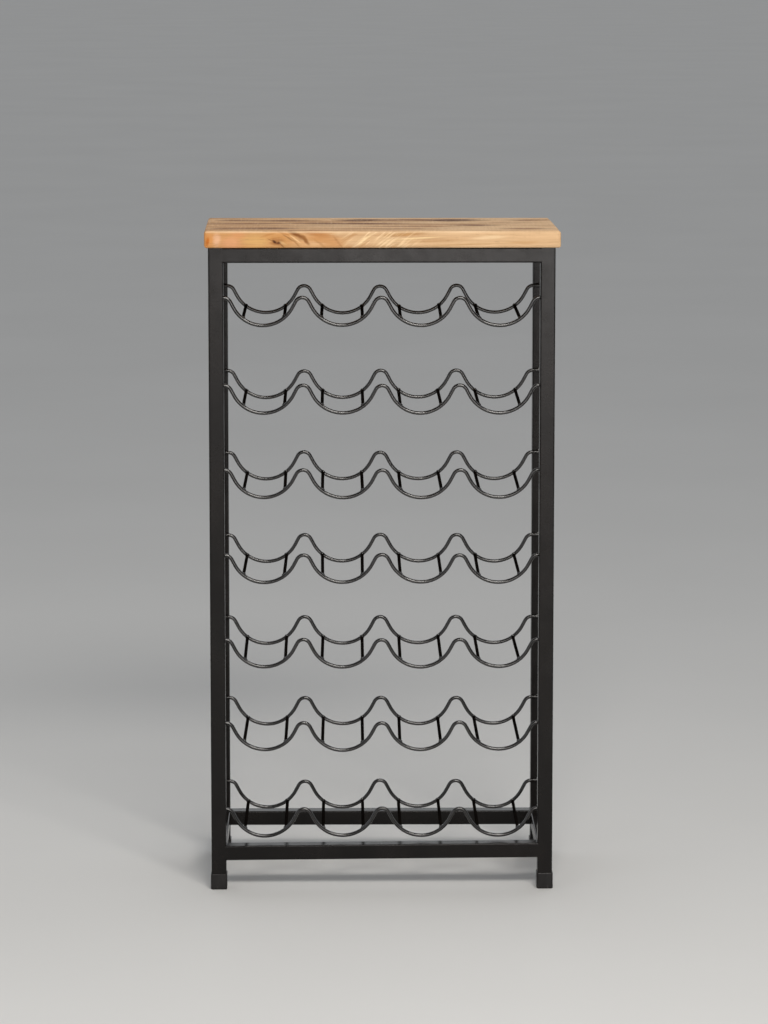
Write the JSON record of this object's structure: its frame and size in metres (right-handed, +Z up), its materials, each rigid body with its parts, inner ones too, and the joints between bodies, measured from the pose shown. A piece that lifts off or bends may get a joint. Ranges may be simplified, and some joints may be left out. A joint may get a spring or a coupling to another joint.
{
  "type": "wine rack",
  "caption": "Tall narrow wine rack: welded square-tube frame, wavy wire cradles that hold bottles on their sides, and a solid wood top.",
  "frame": {"origin": "on the floor, at the middle of the footprint", "axes": "+Z up; the front faces -Y; +X is to the right of someone who looks at the front"},
  "size_m": [0.4778, 0.22, 0.9],
  "materials": {
    "wood": "light fruitwood with brown streaks and a knot, sanded and thinly sealed, satin",
    "black_frame": "warm black powder coat, satin, slightly uneven",
    "black_wire": "warm black powder coat, satin, with glints along the round wire",
    "foot_plastic": "smoky soft plastic, satin",
    "screw_steel": "zinc plated"
  },
  "bodies": {
    "root": {"post_front_left": "black_frame", "post_back_left": "black_frame", "post_front_right": "black_frame", "post_back_right": "black_frame", "bottom_rail_front": "black_frame", "bottom_rail_back": "black_frame", "bottom_rail_left": "black_frame", "bottom_rail_right": "black_frame", "top_rail_front": "black_frame", "top_rail_back": "black_frame", "top_rail_left": "black_frame", "top_rail_right": "black_frame", "wood_top": "wood", "top_screw_left_1": "screw_steel", "top_screw_right_1": "screw_steel", "top_screw_left_2": "screw_steel", "top_screw_right_2": "screw_steel", "top_screw_left_3": "screw_steel", "top_screw_right_3": "screw_steel", "foot_front_left": "foot_plastic", "foot_back_left": "foot_plastic", "foot_front_right": "foot_plastic", "foot_back_right": "foot_plastic", "row_1_front_wire": "black_wire", "row_1_back_wire_and_rods": "black_wire", "row_2_front_wire": "black_wire", "row_2_back_wire_and_rods": "black_wire", "row_3_front_wire": "black_wire", "row_3_back_wire_and_rods": "black_wire", "row_4_front_wire": "black_wire", "row_4_back_wire_and_rods": "black_wire", "row_5_front_wire": "black_wire", "row_5_back_wire_and_rods": "black_wire", "row_6_front_wire": "black_wire", "row_6_back_wire_and_rods": "black_wire", "row_7_front_wire": "black_wire", "row_7_back_wire_and_rods": "black_wire"}
  },
  "joints": []
}
